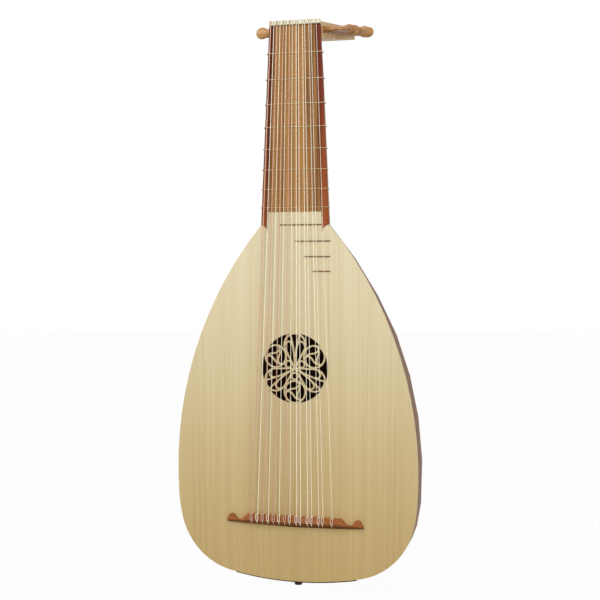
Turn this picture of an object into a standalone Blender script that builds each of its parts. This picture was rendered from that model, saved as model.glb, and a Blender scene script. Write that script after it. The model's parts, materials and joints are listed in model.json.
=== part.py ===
"""Renaissance lute with eight courses: fifteen strings, fifteen pegs and eight tied frets.

Metres. +Z runs up the neck, +X is the treble side, the soundboard faces -Y.
The origin is the centre of the end button's flat face, on the button's axis.
"""
from math import asin, atan2, cos, degrees, hypot, pi, radians, sin, sqrt

import bmesh
import bpy
import numpy as np
from mathutils import Matrix, Vector

# Driving sizes
STRING_LENGTH = 0.600       # nut to bridge
BRIDGE_TO_TAIL = 0.0807     # front of the bridge to the tail edge of the soundboard
BUTTON_PROUD = 0.007        # end button's face beyond the tail edge
BUTTON_SET_BACK = 0.014     # end button's axis behind the soundboard's face
GAP = 0.0003                # glue line or clearance between neighbours
NECK_JOINT_FRET = 9         # the neck meets the body at this fret
TIED_FRETS = 8
LAST_BODY_FRET = 12

# Soundboard outline: arcs from the middle of the tail, each with its radius and its turn
TAIL_ARC = (0.4333, radians(11.0))
CORNER_ARC = (0.0858, radians(63.7))
FLANK_ARC = (0.1544, radians(10.7))
BOARD_THICK = 0.002

# Bowl
RIB_COUNT = 11
RIB_THICK = 0.0018
RIB_START = 0.018           # the ribs end on the tail block at this distance from the middle
SHALLOW_LENGTH = 0.160      # stretch below the neck where the bowl gets shallower than a half round
NECK_BLOCK_LENGTH = 0.072
TAIL_BLOCK_RADIUS = 0.045
TAIL_BLOCK_THICK = 0.013
CAP_HALF_LENGTH = 0.078
CAP_DEPTH = 0.026
CAP_END_DEPTH = 0.008
CAP_THICK = 0.0014
BAR_WIDTH = 0.005
BAR_HEIGHT = 0.012
BAR_END_MARGIN = 0.001
BAR_PLACES = {"upper_harmonic_bar": 0.366, "lower_harmonic_bar": 0.471}   # below the nut

# Neck
NECK_HALF_AT_NUT = 0.033
NECK_HALF_AT_JOINT = 0.0438
NECK_THICK_AT_NUT = 0.020
NECK_THICK_AT_JOINT = 0.029
FINGERBOARD_END = 0.2275    # below the nut
INNER_HALF_AT_NUT = 0.0255  # the light middle of the fingerboard, between the edge strips
INNER_HALF_AT_JOINT = 0.0350
POINT_REACH = 0.0085        # the edge strips' points below the neck joint
POINT_SCALLOP = 0.0022
NUT_LENGTH = 0.0055
NUT_HEIGHT = 0.0029
NUT_BACK_HEIGHT = 0.0019
NUT_HALF_WIDTH = 0.0325

# Pegbox, in its own frame: depth runs back from the nut, height across the box
PEGBOX_LEAN = radians(6.7)
PEGBOX_ABOVE_NUT = 0.003
PEGBOX_LENGTH = 0.187
PEGBOX_HALF_AT_NUT = 0.032
PEGBOX_HALF_AT_END = 0.020
PEGBOX_HEIGHT_AT_NUT = 0.021
PEGBOX_HEIGHT_AT_END = 0.015
CHEEK_THICK = 0.005
FLOOR_THICK = 0.003
FOOT_THICK = 0.007
FOOT_SLOPE = 0.006
END_THICK = 0.008

# Pegs
PEG_COUNT = 15
FIRST_PEG = 0.018
PEG_PITCH = 0.0106
PEG_LEVEL = 0.46            # share of the cheek's height from its open edge to the peg
PEG_RADIUS = 0.0036
PEG_TAPER = 0.012           # growth of the radius along the peg
PEG_RUNNING_GAP = 0.0003
PEG_END_PROUD = 0.0015
PEG_SHANK = 0.015
PEG_SHANK_RADIUS = 0.0050
PEG_HEAD_RADIUS = 0.0081
PEG_HEAD_THICK = 0.0062
PEG_SIDES = 10
# How far each peg is turned from lying flat, nut end first
PEG_TURNS = (8, 78, 155, 40, 120, 10, 62, 100, 140, 25, 172, 60, 95, 130, 68)

# Strings: half the thickness of each, treble first, two for every course but the first
STRING_RADII = (0.00022, 0.00026, 0.00026, 0.00032, 0.00032, 0.00036, 0.00036,
                0.00030, 0.00042, 0.00032, 0.00048, 0.00036, 0.00052, 0.00040, 0.00056)
COURSE_PITCH_AT_BRIDGE = 0.01431
COURSE_PITCH_AT_NUT = 0.00807
PAIR_GAP_AT_BRIDGE = (0.0, 0.0051, 0.0051, 0.0051, 0.0062, 0.0068, 0.0071, 0.0074)
PAIR_GAP_AT_NUT = (0.0, 0.0028, 0.0028, 0.0029, 0.0032, 0.0036, 0.0040, 0.0042)
STRING_OVER_BRIDGE_FOOT = 0.0060
STRING_OVER_NUT_FOOT = 0.0021
STRING_CLEARANCE = 0.00035
STRING_PAST_NUT = 0.0020    # the strings bend down this far beyond the nut
STRING_SPREAD_AT_PEGS = 0.62
STRING_TURN_DEPTH = 0.0123  # where a pair turns behind the bridge

# Bridge
BRIDGE_HALF_LENGTH = 0.088
BRIDGE_BLOCK_HALF = 0.0605
BRIDGE_HEIGHT = 0.0082
BRIDGE_TOP_DEPTH = 0.0075
BRIDGE_FOOT_DEPTH = 0.0115
BRIDGE_FOOT_BULGE = 0.0030
BRIDGE_SCOOP_HEIGHT = 0.0026
BRIDGE_EAR_HEIGHT = 0.0068
BRIDGE_EAR_PLACE = 0.0795
BRIDGE_FOOT_EDGE = 0.0012

# Frets
FRET_RADIUS_FIRST = 0.00050
FRET_RADIUS_LAST = 0.00032
FRET_CLEARANCE = 0.00045
BODY_FRET_WIDTH = 0.0013
BODY_FRET_HEIGHT = 0.0010
BODY_FRET_RIGHT = 0.0455
BODY_FRET_LEFTS = (-0.0200, 0.0005, 0.0120, 0.0230)

# Rose
ROSE_BELOW_NUT = 0.4188
ROSE_RADIUS = 0.0428
TRACERY_WIDTH = 0.0019
RING_DISTANCE = 0.0289      # middle of a petal's arch or of a roundel, from the rose's middle
PETAL_RADIUS = 0.0137
ROUNDEL_RADIUS = 0.0135
LANCET_SPREAD = 0.0054
LANCET_LENGTH = 0.0400
SIDE_ARCH_RADIUS = 0.0043
SIDE_ARCH_PLACE = (0.0080, 0.0284)
EYE_RADIUS = 0.0042
EYE_DISTANCE = 0.0097
# One arm of the whirl in a roundel, from the roundel's middle
WHIRL_ARM = ((3.4, 13.2), (5.7, 8.6), (5.9, 4.2), (4.4, 0.2), (3.2, -3.6), (3.7, -7.4), (6.2, -9.9), (9.4, -9.7))
TRACERY_GRID = 0.00045
TRACERY_FIT = 0.00011
SMALLEST_OPENING = 2.0e-6

# End button
BUTTON_SHANK_RADIUS = 0.0030
BUTTON_SHANK_END = 0.0165
BUTTON_FACE_RADIUS = 0.0040
BUTTON_RADIUS = 0.00525

# Places that follow from the sizes
BOARD_FACE = -BUTTON_SET_BACK
BOARD_BACK = BOARD_FACE + BOARD_THICK
BOWL_PLANE = BOARD_BACK + GAP
NECK_TOP = BOARD_BACK + GAP
TAIL_Z = BUTTON_PROUD
BRIDGE_Z = TAIL_Z + BRIDGE_TO_TAIL
NUT_Z = BRIDGE_Z + STRING_LENGTH
ROSE_Z = NUT_Z - ROSE_BELOW_NUT
FRET_RATIO = 2 ** (-1 / 12)


def fret_z(number):
    return NUT_Z - STRING_LENGTH * (1 - FRET_RATIO ** number)


JOINT_Z = fret_z(NECK_JOINT_FRET)


def between(low, high, share):
    return low + (high - low) * share


def clear_scene():
    for item in list(bpy.data.objects):
        bpy.data.objects.remove(item)


def make_material(name, colour, roughness, metallic=0.0):
    material = bpy.data.materials.new(name)
    material.use_nodes = True
    shader = material.node_tree.nodes["Principled BSDF"]
    shader.inputs["Base Color"].default_value = (*colour, 1.0)
    shader.inputs["Roughness"].default_value = roughness
    shader.inputs["Metallic"].default_value = metallic
    return material


def place(name, data, look, parent=None, smooth=False):
    """Link a new object with its own material, under a parent where it has one."""
    piece = bpy.data.objects.new(name, data)
    bpy.context.collection.objects.link(piece)
    piece.parent = parent
    data.materials.append(make_material(name, *look))
    if smooth:
        data.shade_smooth()
        data.set_sharp_from_angle(angle=radians(38))
    return piece


def to_mesh(bm, name):
    bmesh.ops.recalc_face_normals(bm, faces=bm.faces)
    mesh = bpy.data.meshes.new(name)
    bm.to_mesh(mesh)
    bm.free()
    return mesh


def add_loft(bm, rings):
    """Join closed rings of equal length into one closed skin with an end face at each end."""
    rows = [[bm.verts.new(point) for point in ring] for ring in rings]
    count = len(rows[0])
    for low, high in zip(rows, rows[1:]):
        for i in range(count):
            j = (i + 1) % count
            bm.faces.new((low[i], low[j], high[j], high[i]))
    bm.faces.new(list(reversed(rows[0])))
    bm.faces.new(rows[-1])


def loft(name, rings, look, parent=None, smooth=False, origin=(0.0, 0.0, 0.0)):
    bm = bmesh.new()
    add_loft(bm, rings)
    bmesh.ops.translate(bm, verts=bm.verts, vec=-Vector(origin))
    bmesh.ops.triangulate(bm, faces=bm.faces)
    piece = place(name, to_mesh(bm, name), look, parent, smooth)
    piece.location = origin
    return piece


def cylinder_rings(start, end, radius, sides):
    """Two rings round a straight axis, for a pin or a drill."""
    start = Vector(start)
    axis = Vector(end) - start
    turn = axis.to_track_quat("Z", "Y").to_matrix()
    circle = [turn @ Vector((radius * cos(2 * pi * k / sides), radius * sin(2 * pi * k / sides), 0))
              for k in range(sides)]
    return [[start + p for p in circle], [start + axis + p for p in circle]]


def cut(piece, ring_lists, parent=None):
    """Cut the lofted shapes out of a piece with one Boolean."""
    bm = bmesh.new()
    for rings in ring_lists:
        add_loft(bm, rings)
    name = f"{piece.name}_cutter_{len(piece.modifiers) + 1}"
    cutter = place(name, to_mesh(bm, name), ((0.5, 0.5, 0.5), 0.5), parent)
    cutter.hide_render = True
    cutter.display_type = "WIRE"
    modifier = piece.modifiers.new("cut", "BOOLEAN")
    modifier.operation = "DIFFERENCE"
    modifier.solver = "EXACT"
    modifier.object = cutter


# Outline of the body

def arc_points(start, heading, radius, turn, steps):
    """Points and headings along an arc that turns left, without its first point."""
    centre = (start[0] - radius * sin(heading), start[1] + radius * cos(heading))
    headings = [heading + turn * k / steps for k in range(1, steps + 1)]
    return [((centre[0] + radius * sin(h), centre[1] - radius * cos(h)), h) for h in headings]


def body_outline(fineness=1):
    """Half outline from the tail's middle to the neck's corner: (half width, z) with its heading."""
    stations = [((0.0, TAIL_Z), 0.0)]
    for (radius, turn), steps in zip((TAIL_ARC, CORNER_ARC, FLANK_ARC), (3, 6, 1)):
        point, heading = stations[-1]
        stations += arc_points(point, heading, radius, turn, steps * fineness)
    point, heading = stations[-1]
    chord = (NECK_HALF_AT_JOINT - point[0], JOINT_Z - point[1])
    swing = atan2(chord[1], chord[0]) - heading
    radius = hypot(*chord) / (2 * sin(swing))
    stations += arc_points(point, heading, radius, 2 * swing, 7 * fineness)
    return stations


def half_width_at(z, stations):
    """Half width of the outline at a height, above its corner arc's start."""
    points = [point for point, heading in stations]
    for low, high in zip(points, points[1:]):
        if low[1] <= z <= high[1]:
            return between(low[0], high[0], (z - low[1]) / (high[1] - low[1]))
    return points[-1][0]


def neck_half(z):
    return between(NECK_HALF_AT_NUT, NECK_HALF_AT_JOINT, (NUT_Z - z) / (NUT_Z - JOINT_Z))


def inner_half(z):
    return between(INNER_HALF_AT_NUT, INNER_HALF_AT_JOINT, (NUT_Z - z) / (NUT_Z - JOINT_Z))


def neck_thick(z):
    return between(NECK_THICK_AT_NUT, NECK_THICK_AT_JOINT, (NUT_Z - z) / (NUT_Z - JOINT_Z))


def bowl_ratio(z):
    """Depth of the bowl over its half width: a half round, easing to the neck's depth at the joint."""
    share = min(1.0, max(0.0, (z - JOINT_Z + SHALLOW_LENGTH) / SHALLOW_LENGTH))
    ease = share * share * (3 - 2 * share)
    return between(1.0, neck_thick(JOINT_Z) / NECK_HALF_AT_JOINT, ease)


def bowl_point(station, angle, inset):
    """A point of the bowl, inset from its outer skin, at an angle round from the treble edge."""
    (half, z), heading = station
    r = half - inset * sin(heading)
    level = z + inset * cos(heading)
    return Vector((r * cos(angle), BOWL_PLANE + bowl_ratio(z) * r * sin(angle), level))


# Rose

def turned(points, angle, shift=(0.0, 0.0)):
    c, s = cos(angle), sin(angle)
    return [(x * c - y * s + shift[0], x * s + y * c + shift[1]) for x, y in points]


def arc_line(centre, radius, start, end, steps):
    angles = [between(start, end, k / steps) for k in range(steps + 1)]
    return [(centre[0] + radius * cos(a), centre[1] + radius * sin(a)) for a in angles]


def smooth_line(points, steps):
    """A curve through the points, rounded between them."""
    pts = [points[0], *points, points[-1]]
    line = []
    for a, b, c, d in zip(pts, pts[1:], pts[2:], pts[3:]):
        for k in range(steps):
            t = k / steps
            line.append(tuple(0.5 * (2 * b[i] + (c[i] - a[i]) * t
                                     + (2 * a[i] - 5 * b[i] + 4 * c[i] - d[i]) * t * t
                                     + (3 * b[i] - a[i] - 3 * c[i] + d[i]) * t ** 3) for i in range(2)))
    return line + [points[-1]]


def petal_lines():
    """A pointed petal that points up, with its three lancets."""
    half_angle = asin(PETAL_RADIUS / RING_DISTANCE)
    arch = arc_line((0.0, RING_DISTANCE), PETAL_RADIUS, -half_angle, pi + half_angle, 24)
    lines = [[(0.0, 0.0), *arch, (0.0, 0.0)]]
    for side in (1, -1):
        shares = [k / 8 for k in range(9)]
        lines.append([(side * LANCET_SPREAD * t * t, LANCET_LENGTH * t) for t in shares])
        centre = (side * SIDE_ARCH_PLACE[0], SIDE_ARCH_PLACE[1])
        lines.append(arc_line(centre, SIDE_ARCH_RADIUS, 0.0, pi, 10))
    return lines


def roundel_lines():
    """A ring with a whirl of three arms, round its own middle."""
    lines = [arc_line((0.0, 0.0), ROUNDEL_RADIUS, 0.0, 2 * pi, 32)]
    arm = smooth_line([(x * 0.001, y * 0.001) for x, y in WHIRL_ARM], 3)
    lines += [turned(arm, k * 2 * pi / 3) for k in range(3)]
    return lines


def rose_lines():
    """Middle lines of the whole tracery, round the rose's middle."""
    lines = []
    for k in range(3):
        turn = k * 2 * pi / 3
        lines += [turned(line, turn) for line in petal_lines()]
        direction = turn + pi / 6
        middle = (RING_DISTANCE * cos(direction), RING_DISTANCE * sin(direction))
        lines += [turned(line, 0.0, middle) for line in roundel_lines()]
        eye = (EYE_DISTANCE * cos(direction), EYE_DISTANCE * sin(direction))
        lines.append(arc_line(eye, EYE_RADIUS, 0.0, 2 * pi, 16))
    return lines


def distance_to_lines(x, y, lines):
    nearest = np.full(x.shape, np.inf)
    for line in lines:
        for (ax, ay), (bx, by) in zip(line, line[1:]):
            dx, dy = bx - ax, by - ay
            t = np.clip(((x - ax) * dx + (y - ay) * dy) / max(dx * dx + dy * dy, 1e-18), 0, 1)
            nearest = np.minimum(nearest, np.hypot(x - ax - t * dx, y - ay - t * dy))
    return nearest


def simplified(points, fit):
    """Fewest of the points that keep the line within the fit."""
    if len(points) < 3:
        return points
    (ax, ay), (bx, by) = points[0], points[-1]
    length = max(hypot(bx - ax, by - ay), 1e-12)
    offsets = [abs((bx - ax) * (ay - y) - (ax - x) * (by - ay)) / length for x, y in points]
    if hypot(bx - ax, by - ay) < 1e-9:
        offsets = [hypot(x - ax, y - ay) for x, y in points]
    far = max(range(len(points)), key=offsets.__getitem__)
    if offsets[far] <= fit:
        return [points[0], points[-1]]
    return simplified(points[:far + 1], fit)[:-1] + simplified(points[far:], fit)


def rose_openings():
    """Outlines of the wood taken away: where the rose's disc is clear of every tracery line."""
    count = int(2 * (ROSE_RADIUS + 2 * TRACERY_GRID) / TRACERY_GRID) + 1
    axis = (np.arange(count) - (count - 1) / 2) * TRACERY_GRID
    x, y = np.meshgrid(axis, axis, indexing="ij")
    clear = np.minimum(distance_to_lines(x, y, rose_lines()) - TRACERY_WIDTH / 2,
                       ROSE_RADIUS - np.hypot(x, y))
    clear[np.abs(clear) < 1e-9] = 1e-9
    links = {}

    def crossing(a, b):
        key = (min(a, b), max(a, b))
        low, high = key
        share = clear[low] / (clear[low] - clear[high])
        return key, (between(axis[low[0]], axis[high[0]], share), between(axis[low[1]], axis[high[1]], share))

    places = {}
    for i in range(count - 1):
        for j in range(count - 1):
            square = clear[i:i + 2, j:j + 2] > 0
            if square.all() or not square.any():
                continue
            for corners in (((i, j), (i + 1, j), (i + 1, j + 1)), ((i, j), (i + 1, j + 1), (i, j + 1))):
                inside = [corner for corner in corners if clear[corner] > 0]
                if len(inside) in (0, 3):
                    continue
                lone = inside[0] if len(inside) == 1 else next(c for c in corners if c not in inside)
                ends = [crossing(lone, other) for other in corners if other != lone]
                for key, point in ends:
                    places[key] = point
                links.setdefault(ends[0][0], []).append(ends[1][0])
                links.setdefault(ends[1][0], []).append(ends[0][0])
    openings = []
    while links:
        start = next(iter(links))
        loop = [start]
        before, here = None, start
        while True:
            steps = [key for key in links[here] if key != before]
            before, here = here, steps[0]
            if here == start:
                break
            loop.append(here)
        for key in loop:
            del links[key]
        points = [places[key] for key in loop]
        area = 0.5 * sum(a[0] * b[1] - b[0] * a[1] for a, b in zip(points, points[1:] + points[:1]))
        if abs(area) < SMALLEST_OPENING:
            continue
        if area < 0:
            points.reverse()
        half = len(points) // 2
        outline = simplified(points[:half + 1], TRACERY_FIT)[:-1]
        outline += simplified(points[half:] + points[:1], TRACERY_FIT)[:-1]
        openings.append(outline)
    return openings


# Sub-parts of the body

def strip_end(side, clearance):
    """The scalloped end of an edge strip's point, from its outer corner to its tip."""
    tip_z = JOINT_Z - POINT_REACH
    corner = Vector((NECK_HALF_AT_JOINT, JOINT_Z))
    tip = Vector((inner_half(tip_z), tip_z))
    along = tip - corner
    up = Vector((along.y, -along.x)).normalized()
    if up.y < 0:
        up = -up
    points = []
    for k in range(5):
        share = k / 4
        sag = POINT_SCALLOP * 4 * share * (1 - share)
        point = corner + along * share + up * (sag - clearance)
        points.append((side * point.x, point.y))
    return points


def build_soundboard(parent):
    outline = [point for point, heading in body_outline(2)]
    right = outline[:-1] + strip_end(1, GAP)
    tip_z = JOINT_Z - POINT_REACH
    right.append((inner_half(tip_z) - GAP, tip_z - GAP))
    tongue_z = NUT_Z - FINGERBOARD_END
    right.append((inner_half(tongue_z) - GAP, tongue_z))
    border = right + [(-x, z) for x, z in reversed(right[1:])]
    bm = bmesh.new()
    loops = [border] + [[(x, ROSE_Z + y) for x, y in opening] for opening in rose_openings()]
    for loop in loops:
        verts = [bm.verts.new((x, BOARD_FACE, z)) for x, z in loop]
        for a, b in zip(verts, verts[1:] + verts[:1]):
            bm.edges.new((a, b))
    bmesh.ops.triangle_fill(bm, use_beauty=True, use_dissolve=False, edges=bm.edges[:], normal=(0, -1, 0))
    back = bmesh.ops.extrude_face_region(bm, geom=bm.faces[:])
    verts = [item for item in back["geom"] if isinstance(item, bmesh.types.BMVert)]
    bmesh.ops.translate(bm, verts=verts, vec=(0, BOARD_THICK, 0))
    bmesh.ops.triangulate(bm, faces=bm.faces)
    place("soundboard", to_mesh(bm, "soundboard"), ((0.67, 0.56, 0.33), 0.55), parent)


def build_ribs(parent):
    stations = [station for station in body_outline() if station[0][0] > RIB_START]
    radius, turn = TAIL_ARC
    heading = asin(RIB_START / radius)
    stations.insert(0, ((RIB_START, TAIL_Z + radius * (1 - cos(heading))), heading))
    for k in range(RIB_COUNT):
        rings = []
        for station in stations:
            (half, z), heading = station
            slit = GAP / 2 / half
            start = pi * k / RIB_COUNT + (slit if k else 0.0)
            end = pi * (k + 1) / RIB_COUNT - (slit if k < RIB_COUNT - 1 else 0.0)
            rings.append([bowl_point(station, start, 0.0), bowl_point(station, end, 0.0),
                          bowl_point(station, end, RIB_THICK), bowl_point(station, start, RIB_THICK)])
        shade = 0.05 * (k % 2)
        loft(f"rib_{k + 1:02d}", rings, ((0.30 + shade, 0.15 + shade / 2, 0.06), 0.35), parent)


def build_neck_block(parent):
    chosen = [s for s in body_outline() if JOINT_Z - NECK_BLOCK_LENGTH <= s[0][1]]
    rings = []
    for station in chosen:
        angles = [pi * k / RIB_COUNT for k in range(RIB_COUNT + 1)]
        rings.append([bowl_point(station, angle, RIB_THICK + GAP) for angle in angles])
    for ring in rings:
        for point in ring:
            point.z = min(point.z, JOINT_Z)
    loft("neck_block", rings, ((0.60, 0.45, 0.25), 0.7), parent)


def tail_z(radius):
    """Height of the tail's outer skin at a distance from the button's side of the middle line."""
    big = TAIL_ARC[0]
    return TAIL_Z + big - sqrt(big * big - radius * radius)


def build_tail_block(parent):
    seat = RIB_THICK + GAP
    boss = RIB_START - GAP
    profile = [(0.0, tail_z(0.0)), (boss, tail_z(boss)), (boss, tail_z(boss) + seat),
               (TAIL_BLOCK_RADIUS, tail_z(TAIL_BLOCK_RADIUS) + seat),
               (TAIL_BLOCK_RADIUS, tail_z(0.0) + TAIL_BLOCK_THICK), (0.0, tail_z(0.0) + TAIL_BLOCK_THICK)]
    angles = [pi * k / RIB_COUNT for k in range(RIB_COUNT + 1)]
    bm = bmesh.new()
    add_loft(bm, [[Vector((r * cos(a), BOWL_PLANE + r * sin(a), z)) for r, z in profile] for a in angles])
    bmesh.ops.remove_doubles(bm, verts=bm.verts, dist=1e-7)
    bmesh.ops.dissolve_degenerate(bm, dist=1e-7, edges=bm.edges)
    bmesh.ops.triangulate(bm, faces=bm.faces)
    block = place("tail_block", to_mesh(bm, "tail_block"), ((0.60, 0.45, 0.25), 0.7), parent)
    hole = cylinder_rings((0, 0, TAIL_Z - 0.004), (0, 0, BUTTON_SHANK_END + GAP),
                          BUTTON_SHANK_RADIUS + GAP, 12)
    cut(block, [hole], parent)


def build_end_cap(parent):
    """The clasp over the ribs' ends: a thin band that follows the tail."""
    rings = []
    columns = 16
    for k in range(columns + 1):
        x = between(-CAP_HALF_LENGTH, CAP_HALF_LENGTH, k / columns)
        share = (x / CAP_HALF_LENGTH) ** 2
        depth = between(CAP_DEPTH, CAP_END_DEPTH, share)
        offsets = [depth * i / 3 for i in range(4)]
        inner = [Vector((x, BOWL_PLANE + o, tail_z(hypot(x, o)) - GAP)) for o in offsets]
        outer = [point - Vector((0, 0, CAP_THICK)) for point in reversed(inner)]
        rings.append(inner + outer)
    cap = loft("end_cap", rings, ((0.22, 0.10, 0.04), 0.35), parent)
    hole = cylinder_rings((0, 0, 0.001), (0, 0, TAIL_Z + 0.003), BUTTON_SHANK_RADIUS + GAP, 12)
    cut(cap, [hole], parent)


def build_end_button(parent):
    seat = tail_z(-BOWL_PLANE) - GAP - CAP_THICK - GAP
    profile = [(BUTTON_FACE_RADIUS, 0.0), (BUTTON_RADIUS - 0.0004, 0.0006), (BUTTON_RADIUS, 0.0016),
               (BUTTON_RADIUS - 0.0003, 0.0028), (BUTTON_RADIUS - 0.0012, 0.0038),
               (BUTTON_RADIUS - 0.0014, seat), (BUTTON_SHANK_RADIUS, seat),
               (BUTTON_SHANK_RADIUS - 0.0004, BUTTON_SHANK_END)]
    sides = 16
    rings = [[Vector((r * cos(2 * pi * k / sides), r * sin(2 * pi * k / sides), z)) for k in range(sides)]
             for r, z in profile]
    loft("end_button", rings, ((0.045, 0.012, 0.006), 0.25), parent, smooth=True)


def build_harmonic_bars(parent):
    stations = body_outline(3)
    for name, below_nut in BAR_PLACES.items():
        middle = NUT_Z - below_nut
        rings = []
        for z in (middle - BAR_WIDTH / 2, middle + BAR_WIDTH / 2):
            half = half_width_at(z, stations) - RIB_THICK * 1.6 - BAR_END_MARGIN
            low = half - BAR_HEIGHT * 0.3
            rings.append([Vector((-half, BOWL_PLANE, z)), Vector((half, BOWL_PLANE, z)),
                          Vector((low, BOWL_PLANE + BAR_HEIGHT, z)), Vector((-low, BOWL_PLANE + BAR_HEIGHT, z))])
        loft(name, rings, ((0.65, 0.52, 0.32), 0.7), parent)


# Bridge

def bridge_height(x):
    """Top of the bridge along its length: block, scooped wing, ear and pointed end."""
    x = abs(x)
    if x <= BRIDGE_BLOCK_HALF:
        return BRIDGE_HEIGHT
    wing = BRIDGE_EAR_PLACE - BRIDGE_BLOCK_HALF
    if x <= BRIDGE_EAR_PLACE:
        share = (x - BRIDGE_BLOCK_HALF) / wing
        if share < 0.75:
            drop = sin(share / 0.75 * pi / 2)
            return between(BRIDGE_HEIGHT, BRIDGE_SCOOP_HEIGHT, drop)
        return between(BRIDGE_SCOOP_HEIGHT, BRIDGE_EAR_HEIGHT, ((share - 0.75) / 0.25) ** 2)
    share = (x - BRIDGE_EAR_PLACE) / (BRIDGE_HALF_LENGTH - BRIDGE_EAR_PLACE)
    return between(BRIDGE_EAR_HEIGHT, BRIDGE_FOOT_EDGE, share ** 1.4)


def bridge_foot_depth(x):
    return BRIDGE_FOOT_DEPTH + BRIDGE_FOOT_BULGE * (1 - (x / BRIDGE_HALF_LENGTH) ** 2)


def bridge_places():
    wing = BRIDGE_EAR_PLACE - BRIDGE_BLOCK_HALF
    half = [BRIDGE_BLOCK_HALF * k / 3 for k in range(1, 4)]
    half += [BRIDGE_BLOCK_HALF + wing * s for s in (0.12, 0.3, 0.55, 0.78, 0.9, 1.0)]
    half += [between(BRIDGE_EAR_PLACE, BRIDGE_HALF_LENGTH, s) for s in (0.35, 0.7, 1.0)]
    return [-x for x in reversed(half)] + [0.0] + half


def string_places(side_gaps, pitch):
    """Sideways places of the strings, treble first."""
    places = []
    for course in range(8):
        middle = (3.5 - course) * pitch
        gap = side_gaps[course]
        places += [middle] if course == 0 else [middle + gap / 2, middle - gap / 2]
    return places


STRING_X_BRIDGE = string_places(PAIR_GAP_AT_BRIDGE, COURSE_PITCH_AT_BRIDGE)
STRING_X_NUT = string_places(PAIR_GAP_AT_NUT, COURSE_PITCH_AT_NUT)


def build_bridge(parent):
    rings = []
    foot_y = BOARD_FACE - GAP
    for x in bridge_places():
        height = bridge_height(x)
        foot = bridge_foot_depth(x)
        share = height / BRIDGE_HEIGHT
        top = between(foot * 0.55, BRIDGE_TOP_DEPTH, share)
        if abs(x) >= BRIDGE_HALF_LENGTH:
            foot *= 0.55
            top = foot * 0.8
        rings.append([Vector((x, foot_y, BRIDGE_Z)), Vector((x, foot_y - height, BRIDGE_Z)),
                      Vector((x, foot_y - height, BRIDGE_Z - top)),
                      Vector((x, foot_y - BRIDGE_FOOT_EDGE * 0.9, BRIDGE_Z - foot)),
                      Vector((x, foot_y, BRIDGE_Z - foot))])
    bridge = loft("bridge", rings, ((0.36, 0.13, 0.05), 0.45), parent)
    level = BOARD_FACE - STRING_OVER_BRIDGE_FOOT
    holes = []
    for x, radius in zip(STRING_X_BRIDGE, STRING_RADII):
        holes.append(cylinder_rings((x, level, BRIDGE_Z + 0.002), (x, level, BRIDGE_Z - 0.014),
                                    radius + STRING_CLEARANCE, 6))
    cut(bridge, holes, parent)


# Neck and fingerboard

def half_round(half, depth, level, steps, z_at):
    """A neck section: flat in front, half an ellipse behind."""
    points = []
    for k in range(steps + 1):
        angle = pi * k / steps
        y = level + depth * sin(angle)
        points.append(Vector((half * cos(angle), y, z_at(y))))
    return points


def build_neck(parent):
    def under_pegbox(y):
        return pegbox_under_z(y) - GAP

    steps = RIB_COUNT * 2
    depth_at_joint = neck_thick(JOINT_Z)
    rings = [half_round(NECK_HALF_AT_JOINT, depth_at_joint, NECK_TOP, steps, lambda y: JOINT_Z + GAP)]
    for k in range(1, 4):
        z = between(JOINT_Z, NUT_Z, k / 4)
        rings.append(half_round(neck_half(z), neck_thick(z), NECK_TOP, steps, lambda y, z=z: z))
    rings.append(half_round(neck_half(NUT_Z), neck_thick(NUT_Z), NECK_TOP, steps, under_pegbox))
    loft("neck", rings, ((0.50, 0.30, 0.13), 0.4), parent, smooth=True)


def board_piece(name, outline, look, parent):
    """A flat piece of the fingerboard's thickness with an outline given as (x, z)."""
    rings = [[Vector((x, y, z)) for x, z in outline] for y in (BOARD_FACE, BOARD_BACK)]
    loft(name, rings, look, parent)


def build_fingerboard(parent):
    low = NUT_Z - FINGERBOARD_END + GAP
    outline = [(inner_half(low) - GAP, low), (inner_half(NUT_Z) - GAP, NUT_Z)]
    board_piece("fingerboard", outline + [(-x, z) for x, z in reversed(outline)],
                ((0.42, 0.23, 0.09), 0.45), parent)
    for name, side in (("treble_edge_strip", 1), ("bass_edge_strip", -1)):
        border = [(side * neck_half(NUT_Z), NUT_Z), (side * inner_half(NUT_Z), NUT_Z)]
        border += reversed(strip_end(side, 0.0))
        board_piece(name, border, ((0.16, 0.035, 0.012), 0.35), parent)


def build_nut(parent):
    section = [(BOARD_BACK, NUT_Z + GAP), (BOARD_FACE - NUT_HEIGHT + 0.0004, NUT_Z + GAP),
               (BOARD_FACE - NUT_HEIGHT, NUT_Z + 0.0009), (BOARD_FACE - NUT_HEIGHT, NUT_Z + 0.0018),
               (BOARD_FACE - NUT_BACK_HEIGHT, NUT_Z + NUT_LENGTH), (BOARD_BACK, NUT_Z + NUT_LENGTH)]
    rings = [[Vector((x, y, z)) for y, z in section] for x in (-NUT_HALF_WIDTH, NUT_HALF_WIDTH)]
    nut = loft("nut", rings, ((0.85, 0.80, 0.66), 0.3), parent)
    slots = []
    for x, radius in zip(STRING_X_NUT, STRING_RADII):
        half = radius + STRING_CLEARANCE
        front_y, back_y = (nut_string_y(share) + half for share in (-0.2, 1.2))
        high_y = BOARD_FACE - NUT_HEIGHT - 0.002
        ends = ((NUT_Z - 0.2 * NUT_LENGTH, front_y), (NUT_Z + 1.2 * NUT_LENGTH, back_y))
        slots.append([[Vector((x - half, y, z)), Vector((x + half, y, z)),
                       Vector((x + half, high_y, z)), Vector((x - half, high_y, z))] for z, y in ends])
    cut(nut, slots, parent)


def nut_string_y(share):
    """Depth of a string's middle across the nut: it dips towards the pegbox."""
    return BOARD_FACE - STRING_OVER_NUT_FOOT + share * (NUT_HEIGHT - NUT_BACK_HEIGHT + 0.0005)


# Pegbox, in a frame that leans with it

def pegbox_origin():
    return Vector((0.0, BOARD_FACE, NUT_Z + PEGBOX_ABOVE_NUT))


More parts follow.
